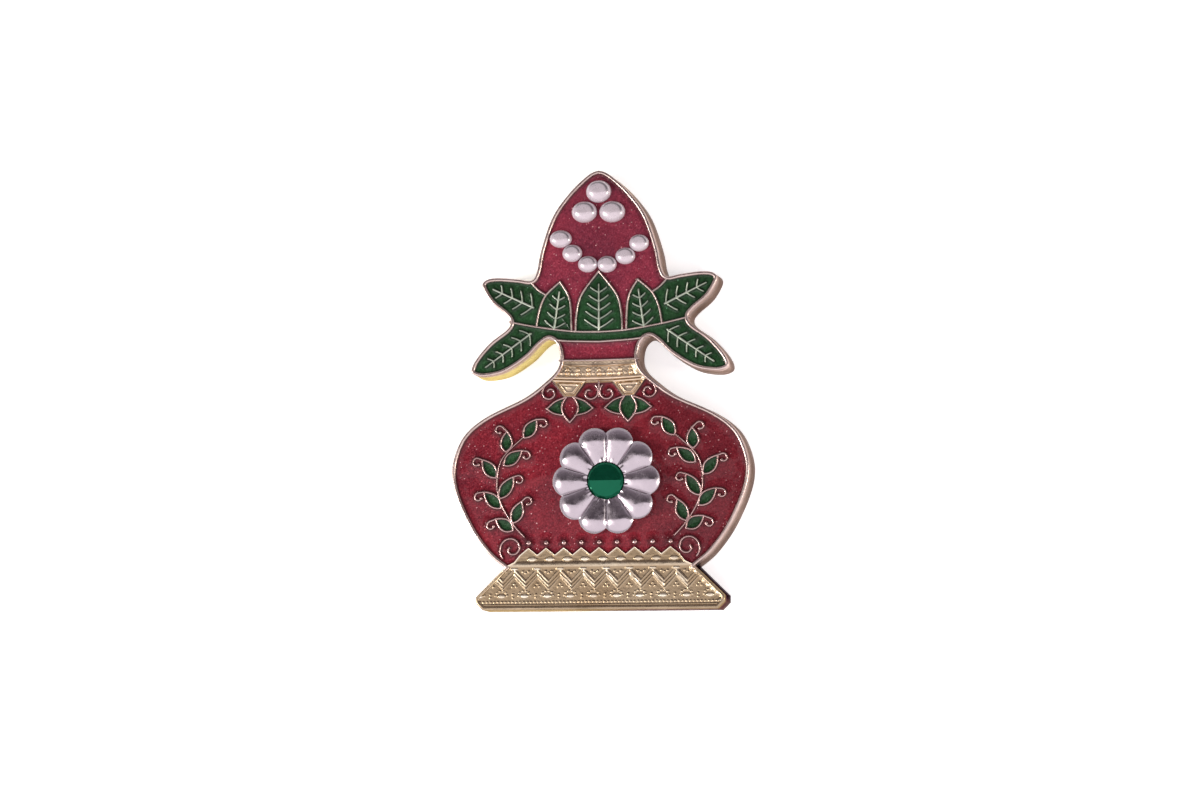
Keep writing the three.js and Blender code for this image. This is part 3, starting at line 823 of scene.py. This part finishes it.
def pendant_height(spots):
    """A pendant: a rolled border, then a smaller raised triangle with its own rolled border."""
    around = np.column_stack([np.abs(spots[:, 0]), spots[:, 1]])
    border = distance_to(pendant_edge, around)
    z = np.maximum(0.04, bulge(border, 0.3, 0.36))
    middle = pendant.mean(axis=0) + (0, 0.18)
    inner = middle + (pendant - middle) * (0.55, 0.5)
    z = np.where(inside(around, inner), 0.16, z)
    z = np.maximum(z, bulge(distance_to(np.vstack([inner, inner[:1]]), around), 0.15, 0.27))
    return RELIEF + np.maximum(z, facets(*around.T, [middle + (0.1, 0.05)], 0.6, 0.22, 0.34))


def build_relief():
    half = np.vstack([points((9, NECK_TOP), (9, 1.25)), neck_bottom])
    relief("casting_neck_band", anticlockwise(both_sides(half)), neck_height, GOLD_RELIEF)
    for name, side in (("right", 1), ("left", -1)):
        outline = anticlockwise(pendant * (side, 1))
        relief(f"casting_pendant_{name}", outline, pendant_height, GOLD_RELIEF)
    below = points((FOOT_SIDE + 1, WAIST + 0.3), (FOOT_SIDE + 1, BOTTOM - 1))
    foot = np.vstack([foot_top, below, mirrored(below)[::-1]])
    relief("casting_foot", anticlockwise(foot), foot_height, GOLD_FOOT)


# ------------------------------------------------------------------ enamel


def cell_outlines():
    """Each enamel pool: its name, its outline, its colour and the CAD node that it stands for.
    A pool that comes earlier in the list takes the ground that a later one shares with it."""
    cells = []
    for name, side in (("left", -1), ("right", 1)):
        at = (side * LOTUS_X, 0)
        flip = (side, 1)
        petal_color = RED if name == "left" else GREEN
        cells.append((f"lotus_petal_{name}", lotus_petal + at, petal_color))
        cells.append((f"lotus_outer_wing_{name}", lotus_wing * flip + at, GREEN))
        cells.append((f"lotus_inner_wing_{name}", mirrored(lotus_wing) * flip + at, GREEN))
        for i, (base, tip, _) in enumerate(vine_leaves):
            near, far = leaf_sides(base, tip, VINE_LEAF)
            outline = np.vstack([near, far[-2:0:-1]]) * flip
            cells.append((f"vine_{name}_{i + 1}", outline, GREEN))
        cells.append((f"leaf_inner_{name}", inner_leaf * flip, GREEN))
        outer = points((10.2, 18), (SIDE, 18), (SIDE, notch[1]))
        upper = np.vstack([upper_leaf_base, outer, band_top_half[:9], inner_leaf[1:17]])
        cells.append((f"leaf_upper_{name}", upper * flip, GREEN))
    cells.append(("leaf_centre", centre_leaf, GREEN))
    crown = both_sides(np.vstack([points((0, 8.3), (4.1, 8.5), (7.95, 14)), upper_leaf_base,
                                  points((10.2, TOP + 1))]))
    cells.append(("coconut", crown, RED))
    cells.append(("neck", np.vstack([band_bottom, points((7.4, NECK_TOP), (-7.4, NECK_TOP))]), RED))
    droop = points((8.5, 1.5), (SIDE, 1.5), (SIDE, notch[1]))
    band = np.vstack([band_bottom, droop, band_top[::-1], mirrored(droop)[::-1]])
    cells.append(("leaf_band", band, GREEN))
    right_top = np.vstack([points((SIDE, WAIST), (SIDE, 1.3)), neck_bottom[:1],
                           points((7.05, 1.2), (5.2, -1.25), (3.6, -1.25), (1.95, 0.8))])
    belly = np.vstack([foot_top, right_top, points((0, 0.8)), mirrored(right_top)[::-1]])
    cells.append(("belly", belly, RED))
    return cells


def painted_rim_shadow(spots):
    """How deep each spot lies in the painted shadow of the rim, which is painted falling down and to
    the left.
    """
    tree = tree_of(even(face, 0.1, closed=True))
    shades = []
    for x, y in spots:
        (rim_x, rim_y, _), _, away = tree.find((x, y, 0))
        lean = (rim_x - x + rim_y - y) / (math.sqrt(2) * max(away, 1e-6))
        shades.append(max(lean, 0) * math.exp(-((max(away - RIM, 0) / 0.55) ** 2)))
    return np.array(shades)


def build_enamel():
    """Every enamel pool. One triangulation of the whole front follows all the cell borders, and
    the surface climbs a little where it wets the metal beside it."""
    rim_line = even(offset(face, 0.35), 0.2, closed=True)
    cells = cell_outlines()
    metal = [(even(path, 0.06), (start + end) / 4)
             for path, start, end in lines + ornament + leaf_veins]
    metal.append((even(face, 0.06, closed=True), RIM))
    turn = np.linspace(0, 2 * np.pi, 17)[:-1]
    for x, y, radius in domes:
        metal.append((np.column_stack([x + radius * np.cos(turn), y + radius * np.sin(turn)]), 0.02))
    for edge in (foot_top, pendant_edge, mirrored(pendant_edge), both_sides(neck_bottom)):
        metal.append((even(edge, 0.06), 0.02))

    trees = []
    for width in sorted({round(half, 3) for _, half in metal}):
        spots = np.vstack([path for path, half in metal if round(half, 3) == width])
        trees.append((tree_of(spots), width))

    def clearance(spots):
        """How far each spot is from the nearest metal."""
        return np.min([apart(tree, spots) - width for tree, width in trees], axis=0)

    rows = []
    for path, half in metal:
        for away, stride in ((0.05, 3), (0.16, 4), (0.34, 6)):
            for turned in (1, -1):
                spots = offset(path[::stride], turned * (half + away), closed=False)
                rows.append(spots[np.abs(clearance(spots) - away) < 0.03])
    grid = staggered((-SIDE, BOTTOM), (SIDE, TOP), 0.5)
    free = np.vstack([*rows, grid[clearance(grid) > 0.5]])
    free = free[inside(free, rim_line)]
    found, faces, middles = triangulated(free, [rim_line] + [outline for _, outline, _ in cells])
    ground = inside(middles, rim_line)
    reach = np.maximum(clearance(found), 0)
    heights = ENAMEL_TOP + 0.07 * np.exp(-reach / 0.12) + 0.03 * np.exp(-reach / 0.6)
    # Its colour is darkened beside the metal by painted shade, most of all by a painted shadow under
    # the rim at the upper right, and also by a painted dark reflection at the right of the belly and in
    # the middle of the coconut.
    x, y = found.T
    right = np.clip((x - 1) / 10, 0, 1) * (y < 1.2)
    middle = np.exp(-((x / 5) ** 2) - ((y - 21) / 5) ** 2)
    painted_shadow_by_metal = np.maximum(np.exp(-((reach / 0.3) ** 2)), painted_rim_shadow(found))
    shades = np.maximum(painted_shadow_by_metal, 0.5 * right + 0.2 * middle)
    for name, outline, color in cells:
        mine = ground & inside(middles, outline)
        ground &= ~mine
        shape = Shape()
        shape.sheet(found, [faces[i] for i in np.flatnonzero(mine)], heights, FLOOR_TOP, shades)
        make_piece(f"pool_{name}", shape, color, [f"enamel_{name}"], sharp=50)


# ------------------------------------------------------------------ stones


def build_cabochons():
    """The oval cabochons, each with a thin girdle, a full dome and a flat back."""
    for node in sorted(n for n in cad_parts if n.startswith("cabochon_")):
        low, high = (np.array(corner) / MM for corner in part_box(node))
        centre, radii = (low + high) / 2, (high - low) / 2
        rise = high[2] - low[2]
        turn = np.linspace(0, 2 * np.pi, 49)[:-1]
        profile = [(0.9, 0), (0.97, 0.03), (1, 0.12)]
        profile += [(math.cos(a) ** 0.85, 0.12 + 0.88 * math.sin(a))
                    for a in np.radians(range(4, 89, 4))]
        rings = [[(centre[0] + radii[0] * r * math.cos(a), centre[1] + radii[1] * r * math.sin(a),
                   low[2] + rise * z) for a in turn] for r, z in profile]
        # A painted dark reflection: a thin dark crescent inside the stone, near its upper right edge.
        # The body inside the girdle is painted a little darker, so the girdle reads as a painted light
        # rim.
        upper = np.clip(np.cos(turn - math.radians(70)) * 1.6, 0, 1)
        shades = [upper * math.exp(-(((r - 0.74) / 0.09) ** 2)) + 0.08 * (r < 0.85)
                  for r, _ in profile]
        shape = Shape()
        shape.rings(np.array(rings), shades=shades)
        make_piece(f"stone_{node[9:]}", shape, PEARLY, [node])


def build_flower():
    """The flower stone: ten round-ended domed petals round a well for the green stone."""
    low, high = (np.array(corner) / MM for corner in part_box("flower_stone"))
    gem_low, gem_high = (np.array(corner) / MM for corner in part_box("flower_centre_gem"))
    centre = (gem_low + gem_high) / 2
    reach = (high[0] - low[0]) / 2
    lobe, well = 2.3, 2.8
    axis_at = reach - lobe
    girdle = high[2] - low[2] - 0.72
    dome = high[2] - low[2] - girdle
    turn = np.radians(np.arange(0, 360, 1.5))
    phase = (turn + np.radians(18)) % np.radians(36) - np.radians(18)
    edge = axis_at * np.cos(phase) + np.sqrt(lobe**2 - (axis_at * np.sin(phase)) ** 2)

    def dome_height(radius):
        along, across = radius * np.cos(phase), radius * np.sin(phase)
        inward = np.clip((axis_at - along) / (axis_at - well), 0, 1)
        half = lobe * 1.03 * (1 - inward) + 1.2 * inward
        outward = np.maximum(along - axis_at, 0) / lobe
        # Each petal is highest near its outer end and slopes down to the well.
        crown = 1.12 * dome * (1 - 0.66 * np.clip((reach - along) / (reach - well), 0, 1) ** 1.8)
        # A narrow groove runs along the valley between two petals.
        groove = 1 - 0.5 * (np.abs(across) / (along * math.tan(math.radians(18)))) ** 9
        return crown * groove * np.clip(1 - (across / half) ** 2 - outward**2, 0, 1) ** 0.78

    def ring(radius, z):
        return np.column_stack([centre[0] + radius * np.cos(turn), centre[1] + radius * np.sin(turn),
                                np.broadcast_to(z, turn.shape)])

    fractions = np.sin(np.radians(np.linspace(0, 90, 34)))
    rings = [ring(edge * 0.96, low[2]), ring(edge, low[2] + 0.2), ring(edge, low[2] + girdle - 0.12),
             ring(edge - 0.03, low[2] + girdle - 0.03)]
    for fraction in fractions[::-1][1:]:
        radius = well + (edge - well) * fraction
        # Small uneven facets stand round the green stone.
        seat = np.exp(-(((radius - well - 0.1) / 0.35) ** 2)) * np.sin(17 * turn) * np.cos(5 * turn + 1)
        rings.append(ring(radius, low[2] + girdle + dome_height(radius) + 0.13 * seat))
    rings.append(ring(np.full(len(turn), well - 0.03), gem_low[2] + 0.02))
    shape = Shape()
    shape.rings(np.array(rings))
    make_piece("stone_flower", shape, CLEAR, ["flower_stone"], sharp=55)


def build_gem():
    """The green stone in the flower: a faceted crown round a table that is cut as two faces."""
    low, high = (np.array(corner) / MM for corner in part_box("flower_centre_gem"))
    centre = (low + high) / 2
    sides = 16
    gem = Shape()
    outer, table = (high[0] - low[0]) / 2, 2.35
    rise = high[2] - low[2]

    def ring(radius, z, shift):
        """The corners at one level. Every second one of a shifted ring is lower."""
        angles = (np.arange(sides) + shift) * 2 * np.pi / sides
        return [(centre[0] + radius * math.cos(a), centre[1] + radius * math.sin(a),
                 low[2] + rise * (z - 0.16 * (i % 2) * (shift > 0))) for i, a in enumerate(angles)]

    profile = ((outer * 0.9, 0, 0), (outer, 0.42, 0), (outer, 0.5, 0), (2.63, 0.88, 0.5), (table, 1, 0))
    rings = [ring(*place) for place in profile]
    # The table's two faces meet along a line across it and slope away from it.
    near, far = math.tan(math.radians(7)), math.tan(math.radians(2))
    for level_ring in rings[-2:]:
        for i, (x, y, z) in enumerate(level_ring):
            away = centre[1] - y
            level_ring[i] = (x, y, z - max(near * away, -far * away))
    gem.rings(np.array(rings))
    top = gem.faces.pop()
    gem.faces += [top[:sides // 2 + 1], top[sides // 2:] + top[:1]]
    make_piece("gem_flower_centre", gem, EMERALD, ["flower_centre_gem"], sharp=8)


# ------------------------------------------------------------------ studio


def area_light(name, location, size, energy, color, target=(0, 0, 0)):
    lamp = bpy.data.lights.new(name, "AREA")
    lamp.shape = "RECTANGLE"
    lamp.size, lamp.size_y = size
    lamp.energy = energy
    lamp.color = color
    holder = bpy.data.objects.new(name, lamp)
    holder.location = location
    holder.rotation_euler = (Vector(target) - Vector(location)).to_track_quat("-Z", "Y").to_euler()
    bpy.context.scene.collection.objects.link(holder)


def flat_card(name, centre, size, material):
    """A flat card, such as the floor or the dark card over the object."""
    (x, y, z), (w, d) = centre, size
    mesh = bpy.data.meshes.new(name)
    corners = [(x - w, y - d, z), (x + w, y - d, z), (x + w, y + d, z), (x - w, y + d, z)]
    mesh.from_pydata(corners, [], [(0, 1, 2, 3)])
    mesh.materials.append(material)
    card = bpy.data.objects.new(name, mesh)
    bpy.context.scene.collection.objects.link(card)


OVERHEAD = 0.62              # the height of the softbox and the dark card, in metres
MEETING = 0.04               # where their edges meet, so that the stones mirror a part of each
HALF_DEPTH = 0.6             # half the depth of each


def build_studio():
    """A pale floor, a wide softbox with a dark card behind it, and two small lamps."""
    pale = Finish("floor_pale", Roughness=0.85, Emission_Color=(1, 1, 1, 1), Emission_Strength=0.5)
    pale.set("Base Color", pale.ramp(pale.noise(3), (0.3, (0.86, 0.86, 0.86)), (0.7, (0.9, 0.9, 0.9))))
    flat_card("floor", (0, 0, -0.0002), (3, 3), pale.material)
    dark = Finish("card_dark", Roughness=0.9)
    tones = (0.1, (0.035, 0.028, 0.035)), (1, (0.4, 0.36, 0.4))
    dark.set("Base Color", dark.ramp(dark.along("Y"), *tones))
    flat_card("card", (0, MEETING + HALF_DEPTH, OVERHEAD), (1.3, HALF_DEPTH), dark.material)
    front = MEETING - HALF_DEPTH
    area_light("softbox_front", (0, front, OVERHEAD), (2.6, 2 * HALF_DEPTH), 6.4, (1.0, 0.93, 0.99),
               target=(0, front, 0))
    area_light("lamp_left", (-0.55, -0.12, 0.5), (0.14, 0.14), 2.8, (1.0, 0.97, 0.93))
    area_light("lamp_right", (0.6, -0.08, 0.3), (0.12, 0.12), 1.5, (1.0, 0.95, 0.85))
    world = bpy.data.worlds.new("studio")
    bpy.context.scene.world = world
    world.use_nodes = True
    background = world.node_tree.nodes["Background"]
    background.inputs["Color"].default_value = (0.95, 0.9, 0.95, 1)
    background.inputs["Strength"].default_value = 0.7
    bpy.context.scene.view_settings.view_transform = "Standard"


def build_camera():
    """The camera looks down at the plaque from a little to its right and below its foot."""
    camera = bpy.data.cameras.new("camera")
    camera.lens = 85
    camera.clip_start = 0.01
    holder = bpy.data.objects.new("camera", camera)
    bpy.context.scene.collection.objects.link(holder)
    frame_width = 0.1757
    distance = frame_width * camera.lens / camera.sensor_width
    target = Vector((0.0002, -0.0018, RIM_TOP * MM))
    back = Vector((math.tan(math.radians(12)), -math.tan(math.radians(6.5)), 1)).normalized()
    roll = math.radians(1.4)
    across = Vector((math.cos(roll), -math.sin(roll), 0))
    across = (across - back * across.dot(back)).normalized()
    turn = Matrix((across, back.cross(across), back)).transposed()
    holder.matrix_world = Matrix.Translation(target + back * distance) @ turn.to_4x4()
    bpy.context.scene.camera = holder


build_camera()
build_studio()
build_plates()
build_casting()
build_relief()
build_enamel()
build_cabochons()
build_flower()
build_gem()
